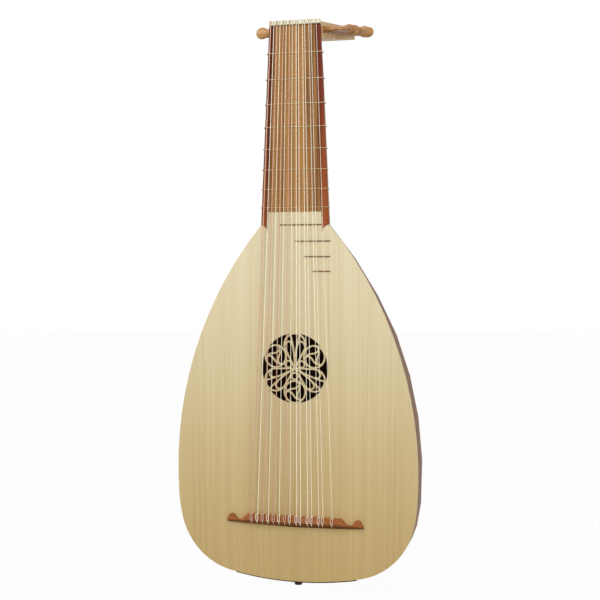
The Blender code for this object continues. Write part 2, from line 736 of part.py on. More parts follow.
def pegbox_half(depth):
    return between(PEGBOX_HALF_AT_NUT, PEGBOX_HALF_AT_END, depth / PEGBOX_LENGTH)


def pegbox_height(depth):
    return between(PEGBOX_HEIGHT_AT_NUT, PEGBOX_HEIGHT_AT_END, depth / PEGBOX_LENGTH)


def pegbox_under_z(y):
    """World height of the pegbox's underside at a world depth."""
    slope = (PEGBOX_HEIGHT_AT_NUT - PEGBOX_HEIGHT_AT_END) / PEGBOX_LENGTH
    c, s = cos(PEGBOX_LEAN), sin(PEGBOX_LEAN)
    d_reach = (y - BOARD_FACE - s * PEGBOX_HEIGHT_AT_NUT) / (c - s * slope)
    return pegbox_origin().z + d_reach * s - (PEGBOX_HEIGHT_AT_NUT - slope * d_reach) * c


def peg_depth(index):
    return FIRST_PEG + index * PEG_PITCH


def peg_level(depth):
    return -PEG_LEVEL * pegbox_height(depth)


def peg_side(index):
    return 1 if index % 2 == 0 else -1


def peg_radius_at(x):
    """Radius of the tapered shaft at a place along the peg, positive towards its head."""
    return PEG_RADIUS + PEG_TAPER * x


def box_rings(depths, x_range, height_range):
    """Two four-cornered rings at the depths, with edges given as functions of the depth."""
    rings = []
    for d in depths:
        x0, x1 = x_range(d)
        t0, t1 = height_range(d)
        rings.append([Vector((x0, d, t0)), Vector((x1, d, t0)), Vector((x1, d, t1)), Vector((x0, d, t1))])
    return rings


def build_pegbox(frame):
    """A long open box: two cheeks, a floor, a sloped foot behind the nut and a block at the end."""
    start = BOARD_THICK + GAP
    outside = box_rings((start, PEGBOX_LENGTH), lambda d: (-pegbox_half(d), pegbox_half(d)),
                        lambda d: (-pegbox_height(d), 0.0))
    pegbox = loft("pegbox", outside, ((0.62, 0.43, 0.22), 0.45), frame)
    foot_end = start + FOOT_THICK

    opening = FLOOR_THICK
    back = PEGBOX_LENGTH - END_THICK
    profile = [(start - 0.001, opening), (start - 0.001, -0.0002), (foot_end, -FOOT_SLOPE),
               (foot_end, FLOOR_THICK - pegbox_height(foot_end)),
               (back, FLOOR_THICK - pegbox_height(back)), (back, opening)]
    cavity = [[Vector((side * (pegbox_half(d) - CHEEK_THICK), d, t)) for d, t in profile]
              for side in (-1, 1)]
    cut(pegbox, [cavity], frame)
    holes = []
    for i in range(PEG_COUNT):
        d = peg_depth(i)
        reach = Vector((CHEEK_THICK, 0, 0))
        for side in (1, -1):
            toward_head = peg_side(i) * side
            widest = max(toward_head * pegbox_half(d), toward_head * (pegbox_half(d) - CHEEK_THICK))
            radius = peg_radius_at(widest) + PEG_RUNNING_GAP + 0.00015
            centre = Vector((side * (pegbox_half(d) - CHEEK_THICK / 2), d, peg_level(d)))
            holes.append(cylinder_rings(centre - reach, centre + reach, radius, 12))
    cut(pegbox, holes, frame)


def peg_rings(index):
    """Rings along a peg, from the shaft's far end to the top of its flat round head."""
    wall = pegbox_half(peg_depth(index))
    head = PEG_SHANK + PEG_HEAD_RADIUS
    rows = [(-wall - PEG_END_PROUD, None), (wall, None), (wall + PEG_SHANK * 0.3, None)]
    rows = [(x, peg_radius_at(x), peg_radius_at(x)) for x, unused in rows]
    rows.append((wall + PEG_SHANK * 0.7, PEG_SHANK_RADIUS, PEG_SHANK_RADIUS * 0.95))
    rows.append((wall + PEG_SHANK * 0.98, PEG_SHANK_RADIUS * 0.96, PEG_SHANK_RADIUS * 0.72))
    for share in (-0.62, -0.3, 0.05, 0.4, 0.72, 0.94):
        x = wall + head + PEG_HEAD_RADIUS * share
        wide = PEG_HEAD_RADIUS * sqrt(1 - share * share)
        thick = PEG_HEAD_THICK / 2 * (1 - 0.32 * abs(share) ** 3)
        rows.append((x, wide, min(thick, wide)))
    rings = []
    for x, wide, thick in rows:
        angles = [2 * pi * k / PEG_SIDES for k in range(PEG_SIDES)]
        rings.append([Vector((x, wide * cos(a), thick * sin(a))) for a in angles])
    return rings


def build_pegs(frame):
    for i in range(PEG_COUNT):
        d = peg_depth(i)
        side = peg_side(i)
        turn = Matrix.Rotation(radians(PEG_TURNS[i]), 3, "X")
        rings = [[turn @ point for point in ring] for ring in peg_rings(i)]
        rings = [[Vector((side * p.x, p.y, p.z)) for p in ring] for ring in rings]
        peg = loft(f"peg_{i + 1:02d}", rings, ((0.50, 0.29, 0.13), 0.4), frame, smooth=True)
        peg.location = (0.0, d, peg_level(d))


# Strings and frets

def string_peg(index):
    """The peg that holds a string: outer strings go to the pegs near the nut."""
    right_pegs = (PEG_COUNT + 1) // 2
    return 2 * index if index < right_pegs else 2 * (PEG_COUNT - 1 - index) + 1


def string_path(index):
    radius = STRING_RADII[index]
    x_bridge, x_nut = STRING_X_BRIDGE[index], STRING_X_NUT[index]
    bridge_y = BOARD_FACE - STRING_OVER_BRIDGE_FOOT
    points = [Vector((x_bridge, bridge_y, BRIDGE_Z - STRING_TURN_DEPTH)),
              Vector((x_bridge, bridge_y, BRIDGE_Z + GAP)),
              Vector((x_nut, nut_string_y(0.0), NUT_Z)),
              Vector((x_nut, nut_string_y(1.0), NUT_Z + NUT_LENGTH + STRING_PAST_NUT))]
    peg = string_peg(index)
    d = peg_depth(peg)
    x_peg = x_nut * STRING_SPREAD_AT_PEGS
    lean = Matrix.Rotation(PEGBOX_LEAN, 3, "X")
    centre = pegbox_origin() + lean @ Vector((x_peg, d, peg_level(d)))
    leave = points[-1]
    run = centre - leave
    shaft = peg_radius_at(peg_side(peg) * x_peg)
    upward = Vector((0.0, run.z, -run.y)).normalized()
    if upward.z < 0:
        upward = -upward
    points.append(centre + upward * (shaft + radius + STRING_CLEARANCE))
    return points


def tube(name, points, radii, look, closed, resolution, parent):
    """A round tube along a straight-sided route, with its own radius at each point."""
    curve = bpy.data.curves.new(name, "CURVE")
    curve.dimensions = "3D"
    curve.bevel_depth = 1.0
    curve.bevel_resolution = resolution
    curve.use_fill_caps = True
    spline = curve.splines.new("POLY")
    spline.points.add(len(points) - 1)
    for item, point, radius in zip(spline.points, points, radii):
        item.co = (*point, 1.0)
        item.radius = radius
    spline.use_cyclic_u = closed
    return place(name, curve, look, parent)


def build_strings(parent):
    """One string for the first course, and pairs that are made fast to each other behind the bridge."""
    for course in range(8):
        members = [0] if course == 0 else [2 * course - 1, 2 * course]
        paths = [string_path(m) for m in members]
        radii = [[STRING_RADII[m]] * len(path) for m, path in zip(members, paths)]
        points, sizes = paths[0], radii[0]
        if course:
            points = paths[0][::-1] + paths[1]
            sizes = radii[0] + radii[1]
        name = "course_1_string" if course == 0 else f"course_{course + 1}_strings"
        wound = course >= 4
        look = ((0.55, 0.30, 0.20), 0.35, 0.6) if wound else ((0.80, 0.74, 0.58), 0.35)
        tube(name, points, sizes, look, False, 2, parent)


def build_tied_frets(parent):
    for number in range(1, TIED_FRETS + 1):
        z = fret_z(number)
        radius = between(FRET_RADIUS_FIRST, FRET_RADIUS_LAST, (number - 1) / (TIED_FRETS - 1))
        off = radius + FRET_CLEARANCE
        half, depth = neck_half(z), neck_thick(z)
        front = -(radius + GAP)
        level = NECK_TOP - BOARD_FACE
        path = [(-(half + off), front * 0.4), (-(half + 0.0003), front), (half + 0.0003, front),
                (half + off, front * 0.4), (half + off, level * 0.6)]
        steps = RIB_COUNT * 2
        for k in range(1, steps):
            angle = pi * k / steps
            path.append(((half + off) * cos(angle), level + (depth + off) * sin(angle)))
        path.append((-(half + off), level * 0.6))
        fret = tube(f"tied_fret_{number}", [Vector((x, y, 0.0)) for x, y in path], [radius] * len(path),
                    ((0.72, 0.62, 0.42), 0.4), True, 1, parent)
        fret.location = (0.0, BOARD_FACE, z)


def build_body_frets(parent):
    for number, left in zip(range(NECK_JOINT_FRET, LAST_BODY_FRET + 1), BODY_FRET_LEFTS):
        right = BODY_FRET_RIGHT
        if number == NECK_JOINT_FRET:
            right = inner_half(fret_z(number)) - 2 * GAP
        low = BOARD_FACE - GAP
        middle = fret_z(number)
        high = low - BODY_FRET_HEIGHT
        half = BODY_FRET_WIDTH / 2
        rings = [[Vector((x, low, middle - half)), Vector((x, low, middle + half)),
                  Vector((x, high, middle + half * 0.6)), Vector((x, high, middle - half * 0.6))]
                 for x in (left, right)]
        loft(f"body_fret_{number}", rings, ((0.22, 0.09, 0.04), 0.45), parent)


def main():
    clear_scene()
    lute = bpy.data.objects.new("lute_axis", None)
    bpy.context.collection.objects.link(lute)
    pegbox = bpy.data.objects.new("pegbox_frame", None)
    bpy.context.collection.objects.link(pegbox)
    pegbox.parent = lute
    pegbox.location = pegbox_origin()
    pegbox.rotation_euler = (PEGBOX_LEAN, 0.0, 0.0)
    build_ribs(lute)
    build_neck_block(lute)
    build_tail_block(lute)
    build_end_cap(lute)
    build_end_button(lute)
    build_harmonic_bars(lute)
    build_soundboard(lute)
    build_bridge(lute)
    build_neck(lute)
    build_fingerboard(lute)
    build_nut(lute)
    build_pegbox(pegbox)
    build_pegs(pegbox)
    build_strings(lute)
    build_tied_frets(lute)
    build_body_frets(lute)
    bpy.context.view_layer.update()


main()
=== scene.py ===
"""Renaissance lute: woods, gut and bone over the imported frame, with tied strings and fret knots.

Metres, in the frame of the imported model: +Z up the neck, +X treble, the soundboard faces -Y.
"""
import json
from math import atan2, cos, hypot, pi, radians, sin

import bmesh
import bpy
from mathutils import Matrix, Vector


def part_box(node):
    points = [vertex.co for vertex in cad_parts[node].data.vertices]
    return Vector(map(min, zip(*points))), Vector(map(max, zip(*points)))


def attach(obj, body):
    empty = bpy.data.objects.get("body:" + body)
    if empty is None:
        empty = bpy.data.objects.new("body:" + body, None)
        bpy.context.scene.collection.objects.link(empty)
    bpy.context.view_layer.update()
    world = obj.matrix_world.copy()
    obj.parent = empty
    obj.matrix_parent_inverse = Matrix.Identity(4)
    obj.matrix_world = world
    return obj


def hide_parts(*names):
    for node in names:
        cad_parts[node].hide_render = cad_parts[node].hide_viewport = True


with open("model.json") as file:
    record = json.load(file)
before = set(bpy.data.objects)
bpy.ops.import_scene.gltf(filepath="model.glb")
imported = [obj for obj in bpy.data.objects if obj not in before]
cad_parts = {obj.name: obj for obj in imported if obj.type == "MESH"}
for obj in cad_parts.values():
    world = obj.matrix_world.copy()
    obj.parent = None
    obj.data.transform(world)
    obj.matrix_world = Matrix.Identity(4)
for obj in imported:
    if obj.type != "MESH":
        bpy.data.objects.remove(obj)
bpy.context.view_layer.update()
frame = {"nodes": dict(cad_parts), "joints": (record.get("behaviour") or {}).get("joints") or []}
NODES = frame["nodes"]
BODY = "body"

# What there is of each
RIBS = range(1, 12)
TIED_FRETS = range(1, 9)
BODY_FRETS = range(9, 13)
PEG_COUNT = 15
COURSE_COUNT = 8

# Planes and ends of the instrument, taken from its pieces
GAP = 0.0003                # between neighbouring pieces
NUT_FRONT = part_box("nut")[0].z - GAP
NUT_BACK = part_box("nut")[1].z
BRIDGE_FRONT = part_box("bridge")[1].z
BRIDGE_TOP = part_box("bridge")[0].y
BRIDGE_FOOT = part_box("bridge")[1].y
BRIDGE_HALF_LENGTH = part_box("bridge")[1].x
BOARD_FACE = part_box("soundboard")[0].y
BOWL_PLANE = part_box("rib_01")[0].y
MEAN_BOWL_RADIUS = 0.12     # where the ribs' grain is drawn at its true size
RIB_GLUE_LINE = 0.00004

# Strings, treble first
COURSE_PITCH = {"bridge": 0.01431, "nut": 0.00807}
PAIR_GAP = {"bridge": (0.0, 0.0051, 0.0051, 0.0051, 0.0062, 0.0068, 0.0071, 0.0074),
            "nut": (0.0, 0.0028, 0.0028, 0.0029, 0.0032, 0.0036, 0.0040, 0.0042)}
STRING_RADII = (0.00025, 0.00030, 0.00030, 0.00036, 0.00036, 0.00040, 0.00040,
                0.00034, 0.00050, 0.00036, 0.00055, 0.00038, 0.00060, 0.00042, 0.00064)
FIRST_WOUND = 8             # from this string on, counted from 0, every second one is wound
STRING_IN_BRIDGE = 0.0090   # how far a string runs into the bridge from its front
STRING_LIFT = 0.0060        # over the soundboard's face at the bridge
NUT_LIFT = 0.0021           # over it at the nut
NUT_CLEAR = 0.0001          # over the nut's top
NUT_DIP = 0.0015            # how much lower a string leaves the nut
PAST_NUT = 0.0005           # where it bends down, behind the nut
SPREAD_AT_PEGS = 0.62       # of the strings' places at the nut

# Pegs and the strings' turns on them
SHAFT_RADIUS = 0.0036
SHAFT_TAPER = 0.012         # growth of the radius along the peg
WINDING_TURNS = 4
WINDING_STEPS = 12          # to each turn
WINDING_PITCH = 2.1         # from turn to turn, in the string's radii
WINDING_LEAD = 0.15         # share of the turns that lies before the string's place
WINDING_CLEAR = 0.00005

# A string's tie at the bridge
TIE_HOLE = 0.0095           # how far behind the bridge's front it comes out of its hole
TIE_REAR = 0.0068           # how far behind it the loop closes on the top
TIE_HALF_WIDTH = 0.00125
TIE_BEND = 0.0012           # length of the top over which the loop turns down to the front
TIE_FALL = 0.0004           # how much lower its route lies at the edges of the top
TIE_CLEAR_FRONT = 0.0002    # between the bridge and the cord's skin
TIE_CLEAR_TOP = 0.0001

# Knots of the tied frets
KNOT_RADIUS = 0.0009
KNOT_OUTSET = 0.6           # how far the knot's middle lies out from the neck's corner, in its radii
KNOT_BEHIND_FACE = 0.0022
KNOT_POINTS = 26
KNOT_STEP = 0.5             # radians from point to point
KNOT_ADVANCE = 0.00016      # from point to point, towards the neck's back
KNOT_THICKNESS = 0.9        # of the fret's own
TAIL_THICKNESS = 0.85
TAIL_STEPS = ((-0.0010, 0.0008, 0.0006), (-0.0022, 0.0010, 0.0010))

# The bridge in plan and in height, by distance from its middle
BRIDGE_FRONT_LINE = ((0.0, 0.0), (0.0600, 0.0), (0.0625, 0.0022), (0.0655, 0.0058), (0.0690, 0.0078),
                     (0.0735, 0.0076), (0.0765, 0.0052), (0.0785, 0.0016), (0.0815, 0.0004),
                     (0.0845, 0.0018), (0.0868, 0.0058), (0.0880, 0.0096))
BRIDGE_HEIGHT_LINE = ((0.0, 1.0), (0.0600, 1.0), (0.0690, 0.55), (0.0735, 0.5), (0.0815, 0.75),
                      (0.0880, 0.3))
BRIDGE_REAR = 0.0112        # depth of the foot at the ends
BRIDGE_REAR_BULGE = 0.0030  # how much deeper it is in the middle
BRIDGE_TOP_DEPTH = 0.0074
BRIDGE_LEAST_DEPTH = 0.0012     # of the top, at the wings
BRIDGE_EDGE = 0.0003
BRIDGE_REAR_PAINTED_SHADE = (0.0072, 0.0095)   # behind the front: here the top's colour turns to painted shade on the rear slope

# Closing and easing the skins of the frame's nodes
MERGE_DISTANCE = 2e-6
FLAT_ANGLE = 0.01           # radians: faces that lie flatter than this are joined
ROUND_FACE_ANGLE = 0.9      # how bent and how askew two triangles may be that make one four-sided face
ROUND_SHAPE_ANGLE = 3.0
EASED_ANGLE = 0.6           # sharper edges than this are eased
BODY_FRET_EDGE = 0.0002

# Grain of the woods: cells of noise per metre, and the levels of the noise between which a mark darkens
WANDER_ACROSS = 9.0
WANDER_ALONG = 5.0
WANDER_REACH = 0.006        # how far a line strays sideways
LINE_LEVELS = (0.40, 0.68)
BROAD_LEVELS = (0.35, 0.7)
BROAD_ACROSS = 0.08         # broad bands to one line
BROAD_ALONG = 0.6
BROAD_SHARE = 0.5           # of the lines' contrast
PORES_ACROSS = 1500.0
PORES_ALONG = 90.0
PORE_LEVELS = (0.60, 0.72)
PORE_SHADE = 0.45           # of the wood's dark colour
CENTRE_JOINT = (0.00012, 0.0004)        # half widths of the glue line between book-matched halves
CENTRE_JOINT_SHADE = 0.7
LINE_DULLNESS = 0.16        # how much rougher a dark line is than a pale one
LINE_DEPTH = 0.00006
RIB_TONES = 5
RIB_TONE_STEP = 7           # from rib to rib, so that neighbours differ
RIB_PLANK_STEP = 0.37       # how far apart in the pattern neighbouring ribs are cut

# Unevenness of gut, wire and bone
UNEVEN_LEVELS = (0.3, 0.75)
UNEVEN_DULLNESS = 0.2
UNEVEN_DEPTH = 0.00004

# Floor, light and camera
FLOOR_RADIUS = 7.0
FLOOR_DROP = 0.0005
FLOOR_WHITENESS = 0.97
WORLD_LEVEL = 0.58
LAMP_AIM = (0, 0, 0.4)
CAMERA_PLACE = (0.5620, -1.6303, 0.3891)
CAMERA_AIM = (0.0053, -0.0120, 0.3525)
CAMERA_LENS = 83.98
SIDE_STEP = 0.0008          # the camera stands this much to the treble, so that neck and body share the error


def linear(red, green, blue):
    """A colour from its 0 to 255 display values."""
    values = [c / 255 for c in (red, green, blue)]
    return tuple(c / 12.92 if c <= 0.04045 else ((c + 0.055) / 1.055) ** 2.4 for c in values)


# Materials

class Signal:
    """A shader socket that takes part in Python sums."""

    def __init__(self, look, socket):
        self.look = look
        self.socket = socket

    def math(self, operation, first, second=0.0):
        return self.look.node("ShaderNodeMath", {"operation": operation}, {0: first, 1: second})

    def __add__(self, other):
        return self.math("ADD", self, other)

    def __sub__(self, other):
        return self.math("SUBTRACT", self, other)

    def __mul__(self, other):
        return self.math("MULTIPLY", self, other)

    def __rsub__(self, other):
        return self.math("SUBTRACT", other, self)

    def __abs__(self):
        return self.math("ABSOLUTE", self)

    __radd__ = __add__
    __rmul__ = __mul__


class Look:
    """A material with its Principled shader and a short way to add nodes."""

    COAT_ROUGHNESS = 0.25
    MIX_SHARE, MIX_FIRST, MIX_SECOND, MIX_COLOUR = 0, 6, 7, 2   # a Mix node's sockets for colours

    def __init__(self, name, roughness, coat=0.0, metallic=0.0):
        self.material = bpy.data.materials.new(name)
        self.material.use_nodes = True
        self.tree = self.material.node_tree
        self.shader = self.tree.nodes["Principled BSDF"]
        self.shader.inputs["Roughness"].default_value = roughness
        self.shader.inputs["Metallic"].default_value = metallic
        self.shader.inputs["Coat Weight"].default_value = coat
        self.shader.inputs["Coat Roughness"].default_value = self.COAT_ROUGHNESS

    def feed(self, socket, value):
        """A link from a signal, or a set value."""
        if isinstance(value, Signal):
            self.tree.links.new(value.socket, socket)
        elif hasattr(value, "__len__") and len(socket.default_value) == 4:
            socket.default_value = (*value, 1.0)
        else:
            socket.default_value = value

    def node(self, kind, settings, inputs, output=0):
        made = self.tree.nodes.new(kind)
        for key, value in settings.items():
            setattr(made, key, value)
        for key, value in inputs.items():
            self.feed(made.inputs[key], value)
        return Signal(self, made.outputs[output])

    def where(self):
        """Object coordinates as three signals."""
        point = self.node("ShaderNodeTexCoord", {}, {}, "Object")
        split = self.tree.nodes.new("ShaderNodeSeparateXYZ")
        self.feed(split.inputs[0], point)
        return [Signal(self, out) for out in split.outputs]

    def noise(self, place, detail=2.0, roughness=0.5):
        vector = self.node("ShaderNodeCombineXYZ", {}, dict(enumerate(place)))
        inputs = {"Vector": vector, "Scale": 1.0, "Detail": detail, "Roughness": roughness}
        return self.node("ShaderNodeTexNoise", {}, inputs)

    def band(self, value, low, high):
        """0 below the low value, 1 above the high one, smooth between."""
        settings = {"interpolation_type": "SMOOTHSTEP"}
        return self.node("ShaderNodeMapRange", settings, {0: value, 1: low, 2: high})

    def mix(self, share, first, second):
        """The first colour where the share is 0, the second where it is 1."""
        settings = {"data_type": "RGBA"}
        inputs = {self.MIX_SHARE: share, self.MIX_FIRST: first, self.MIX_SECOND: second}
        return self.node("ShaderNodeMix", settings, inputs, self.MIX_COLOUR)

    def bump(self, height, distance, strength=0.5):
        inputs = {"Height": height, "Distance": distance, "Strength": strength}
        self.feed(self.shader.inputs["Normal"], self.node("ShaderNodeBump", {}, inputs))


def wood(name, pale, dark, lines, run, roughness=0.45, coat=0.0, contrast=0.6, along="z", height_blend=None,
         book_matched=False, round_bowl=False, shift=0.0, pores=0.0, gloss=0.22):
    """Straight-grained wood: lines per metre across the grain, run is how fast they change along it.

    The blend by height is (height, other height, pale, dark): the two colours that it turns to between the
    heights, which on the soundboard and the bridge are painted shade.
    """
    look = Look(name, roughness, coat)
    look.shader.inputs["Specular IOR Level"].default_value = gloss
    x, y, z = look.where()
    height = z
    if round_bowl:
        x, y = x.math("ARCTAN2", y - BOWL_PLANE, x) * MEAN_BOWL_RADIUS, 0.0
    if along == "x":
        x, z = z, x
    if book_matched:
        x = abs(x)
    x = x + shift
    wander_place = (x * WANDER_ACROSS, 0.0 if round_bowl else y * WANDER_ACROSS, z * WANDER_ALONG)
    strayed = x + look.noise(wander_place) * WANDER_REACH
    fine = look.noise((strayed * lines, y * lines, z * run), detail=3.0, roughness=0.6)
    bands = lines * BROAD_ACROSS
    broad = look.noise((strayed * bands, y * bands, z * (run * BROAD_ALONG)))
    grain = look.band(fine, *LINE_LEVELS) * contrast
    grain = grain + look.band(broad, *BROAD_LEVELS) * (contrast * BROAD_SHARE)
    light, deep = pale, dark
    if height_blend:
        fall = look.band(height, height_blend[0], height_blend[1])
        light = look.mix(fall, pale, height_blend[2])
        deep = look.mix(fall, dark, height_blend[3])
    if book_matched:
        joint = 1.0 - look.band(x, *CENTRE_JOINT)
        grain = grain + joint * CENTRE_JOINT_SHADE
    colour = look.mix(grain, light, deep)
    if pores:
        cells = look.noise((x * PORES_ACROSS, y * PORES_ACROSS, z * PORES_ALONG), detail=1.0)
        colour = look.mix(look.band(cells, *PORE_LEVELS) * pores, colour, tuple(c * PORE_SHADE for c in dark))
    look.feed(look.shader.inputs["Base Color"], colour)
    look.feed(look.shader.inputs["Roughness"], fine * LINE_DULLNESS + (roughness - LINE_DULLNESS / 2))
    look.bump(fine, LINE_DEPTH)
    return look.material


def plain(name, pale, dark, scale, roughness, metallic=0.0, relief=0.05):
    """Gut, bone or wire: one colour with a soft unevenness."""
    look = Look(name, roughness, metallic=metallic)
    x, y, z = look.where()
    uneven = look.noise((x * scale, y * scale, z * scale), detail=3.0)
    look.feed(look.shader.inputs["Base Color"], look.mix(look.band(uneven, *UNEVEN_LEVELS), pale, dark))
    look.feed(look.shader.inputs["Roughness"], uneven * UNEVEN_DULLNESS + (roughness - UNEVEN_DULLNESS / 2))
    look.bump(uneven, UNEVEN_DEPTH, relief)
    return look.material


# The soundboard turns darker towards the tail: painted shade, for light that falls brighter on its upper
# part.
SPRUCE = wood("soundboard spruce", linear(219, 207, 172), linear(194, 175, 132), lines=620.0, run=3.0,
              roughness=0.5, contrast=0.32, book_matched=True,
              height_blend=(0.46, 0.0, linear(192, 166, 112), linear(162, 134, 82)))
# The bridge's rear slope turns darker: painted shade on the side that faces away from the light above.
BRIDGE_WOOD = wood("bridge pearwood", linear(168, 104, 56), linear(116, 62, 30), lines=500.0, run=18.0,
                   along="x", pores=0.3, gloss=0.12,
                   height_blend=(BRIDGE_FRONT - BRIDGE_REAR_PAINTED_SHADE[0], BRIDGE_FRONT - BRIDGE_REAR_PAINTED_SHADE[1],
                         linear(128, 74, 38), linear(84, 44, 20)))
BOARD_WOOD = wood("fingerboard", linear(182, 134, 78), linear(112, 70, 36), lines=260.0, run=3.0,
                  contrast=0.8, pores=0.3, gloss=0.12)
EDGE_WOOD = wood("dark edge strips", linear(108, 42, 22), linear(62, 20, 10), lines=340.0, run=4.0,
                 roughness=0.38, pores=0.4, gloss=0.12,
                 height_blend=(0.66, 0.44, linear(158, 84, 40), linear(96, 42, 18)))
FRET_WOOD = wood("body frets", linear(132, 78, 44), linear(84, 44, 24), lines=500.0, run=20.0, along="x")
CAP_WOOD = wood("end cap", linear(104, 60, 34), linear(56, 28, 15), lines=340.0, run=10.0, roughness=0.35,
                coat=0.1, along="x")
BUTTON_WOOD = wood("end button", linear(78, 24, 14), linear(34, 8, 6), lines=700.0, run=60.0, roughness=0.25,
                   coat=0.3)
NECK_WOOD = wood("neck", linear(176, 126, 74), linear(122, 78, 42), lines=240.0, run=4.0, roughness=0.38,
                 coat=0.1, pores=0.35)
PEGBOX_WOOD = wood("pegbox", linear(226, 188, 132), linear(172, 126, 76), lines=260.0, run=9.0, pores=0.3)
PEG_WOOD = wood("pegs", linear(190, 142, 86), linear(132, 84, 44), lines=420.0, run=16.0, roughness=0.35,
                coat=0.1, along="x", pores=0.3)
INNER_WOOD = wood("inner blocks", linear(196, 168, 120), linear(150, 118, 74), lines=400.0, run=6.0,
                  roughness=0.7)
GUT = plain("gut", linear(252, 248, 230), linear(232, 222, 192), scale=400.0, roughness=0.38)
WOUND = plain("wound bass", linear(214, 178, 152), linear(176, 134, 108), scale=900.0, roughness=0.4,
              metallic=0.15)
FRET_GUT = plain("fret gut", linear(222, 202, 156), linear(182, 152, 104), scale=500.0, roughness=0.42)
BONE = plain("nut bone", linear(222, 216, 192), linear(200, 190, 160), scale=160.0, roughness=0.4, relief=0.4)


def rib_wood(number):
    """Neighbouring ribs are cut from different stretches of the plank, and differ in tone."""
    warm = (number * RIB_TONE_STEP % RIB_TONES) / RIB_TONES
    pale = linear(128 + 26 * warm, 84 + 18 * warm, 50 + 12 * warm)
    dark = linear(76 + 16 * warm, 46 + 10 * warm, 26 + 8 * warm)
    return wood(f"rib {number}", pale, dark, lines=210.0, run=3.5, roughness=0.36, contrast=0.7,
                round_bowl=True, shift=RIB_PLANK_STEP * number, pores=0.3, gloss=0.02)


# Pieces

def finish_piece(piece, material, rides_on, smooth=40):
    """Material and body; faces that meet at less than the smooth angle are shaded as one."""
    if piece.type == "MESH":
        piece.data.materials.clear()
        piece.data.shade_smooth()
        piece.data.set_sharp_from_angle(angle=radians(smooth))
    piece.data.materials.append(material)
    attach(piece, rides_on)
    return piece


def dressed(node, material, rides_on=BODY, round_off=0, edge=0.0, smooth=40, change=None):
    """A finer copy of a frame node: its skin is closed, its edges eased or its form rounded."""
    mesh = NODES[node].data.copy()
    bm = bmesh.new()
    bm.from_mesh(mesh)
    bmesh.ops.remove_doubles(bm, verts=bm.verts, dist=MERGE_DISTANCE)
    if round_off:
        bmesh.ops.join_triangles(bm, faces=bm.faces, angle_face_threshold=ROUND_FACE_ANGLE,
                                 angle_shape_threshold=ROUND_SHAPE_ANGLE)
    else:
        bmesh.ops.dissolve_limit(bm, angle_limit=FLAT_ANGLE, verts=bm.verts, edges=bm.edges)
    if change:
        change(bm)
    bm.to_mesh(mesh)
    bm.free()
    piece = bpy.data.objects.new(node + "_finish", mesh)
    bpy.context.collection.objects.link(piece)
    if round_off:
        rounding = piece.modifiers.new("rounding", "SUBSURF")
        rounding.levels = rounding.render_levels = round_off
    if edge:
        easing = piece.modifiers.new("eased edges", "BEVEL")
        easing.width = edge
        easing.segments = 2
        easing.limit_method = "ANGLE"
        easing.angle_limit = EASED_ANGLE
        easing.harden_normals = True
    finish_piece(piece, material, rides_on, smooth)
    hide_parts(node)


def strand(name, points, radius, material, rides_on=BODY, rounded=False):
    """Gut or wire along a route."""
    curve = bpy.data.curves.new(name, "CURVE")
    curve.dimensions = "3D"
    curve.bevel_depth = radius
    curve.bevel_resolution = 2
    curve.use_fill_caps = True
    curve.resolution_u = 4
    spline = curve.splines.new("NURBS" if rounded else "POLY")
    spline.points.add(len(points) - 1)
    for item, point in zip(spline.points, points):
        item.co = (*point, 1.0)
    if rounded:
        spline.order_u = 3
        spline.use_endpoint_u = True
    piece = bpy.data.objects.new(name, curve)
    bpy.context.collection.objects.link(piece)
    return finish_piece(piece, material, rides_on)


def paint_node(node, material):
    """A frame node that keeps its own shape."""
    mesh = NODES[node].data
    mesh.materials.clear()
    mesh.materials.append(material)


def along_line(x, line):
    """The value at a place x, on straight runs between (place, value) pairs."""
    for (x0, v0), (x1, v1) in zip(line, line[1:]):
        if x <= x1:
            return v0 + (v1 - v0) * (x - x0) / (x1 - x0)
    return line[-1][1]


def bridge_outline():
    """The bridge's front and rear lines in plan, as places across and behind its front."""
    places = sorted({x for x, value in BRIDGE_FRONT_LINE + BRIDGE_HEIGHT_LINE})
    places = [-x for x in reversed(places[1:])] + places
    front = [(x, -along_line(abs(x), BRIDGE_FRONT_LINE)) for x in places]
    rear = []
    for x in reversed(places):
        bulge = BRIDGE_REAR_BULGE * (1 - (x / BRIDGE_HALF_LENGTH) ** 2)
        rear.append((x, -BRIDGE_REAR - bulge))
    return front, rear


def make_bridge():
    """The bridge's plan is drawn, raised to its height and sloped behind; its wings end in carved ears."""
    height = BRIDGE_FOOT - BRIDGE_TOP
    front, rear = bridge_outline()
    bm = bmesh.new()
    outline = [bm.verts.new((x, BRIDGE_FOOT, BRIDGE_FRONT + z)) for x, z in front + rear]
    raised = bmesh.ops.extrude_face_region(bm, geom=[bm.faces.new(outline)])
    top = [v for v in raised["geom"] if isinstance(v, bmesh.types.BMVert)]
    above_rear = []
    for vert in outline[len(front):]:
        neighbours = [edge.other_vert(vert) for edge in vert.link_edges]
        above_rear += [v for v in neighbours if v in top]
    for vert in top:
        vert.co.y = BRIDGE_FOOT - height * along_line(abs(vert.co.x), BRIDGE_HEIGHT_LINE)
    for vert in above_rear:
        depth = BRIDGE_FRONT - vert.co.z
        lead = along_line(abs(vert.co.x), BRIDGE_FRONT_LINE)
        share = along_line(abs(vert.co.x), BRIDGE_HEIGHT_LINE)
        sloped = depth - (depth - BRIDGE_TOP_DEPTH) * share
        vert.co.z = BRIDGE_FRONT - max(lead + BRIDGE_LEAST_DEPTH, sloped)
    bmesh.ops.recalc_face_normals(bm, faces=bm.faces)
    bmesh.ops.bevel(bm, geom=bm.edges[:], offset=BRIDGE_EDGE, segments=2, profile=0.5, affect="EDGES",
                    material=-1)
    mesh = bpy.data.meshes.new("carved_bridge")
    bm.to_mesh(mesh)
    bm.free()
    piece = bpy.data.objects.new("carved_bridge", mesh)
    bpy.context.collection.objects.link(piece)
    finish_piece(piece, BRIDGE_WOOD, BODY, smooth=30)
    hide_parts("bridge")


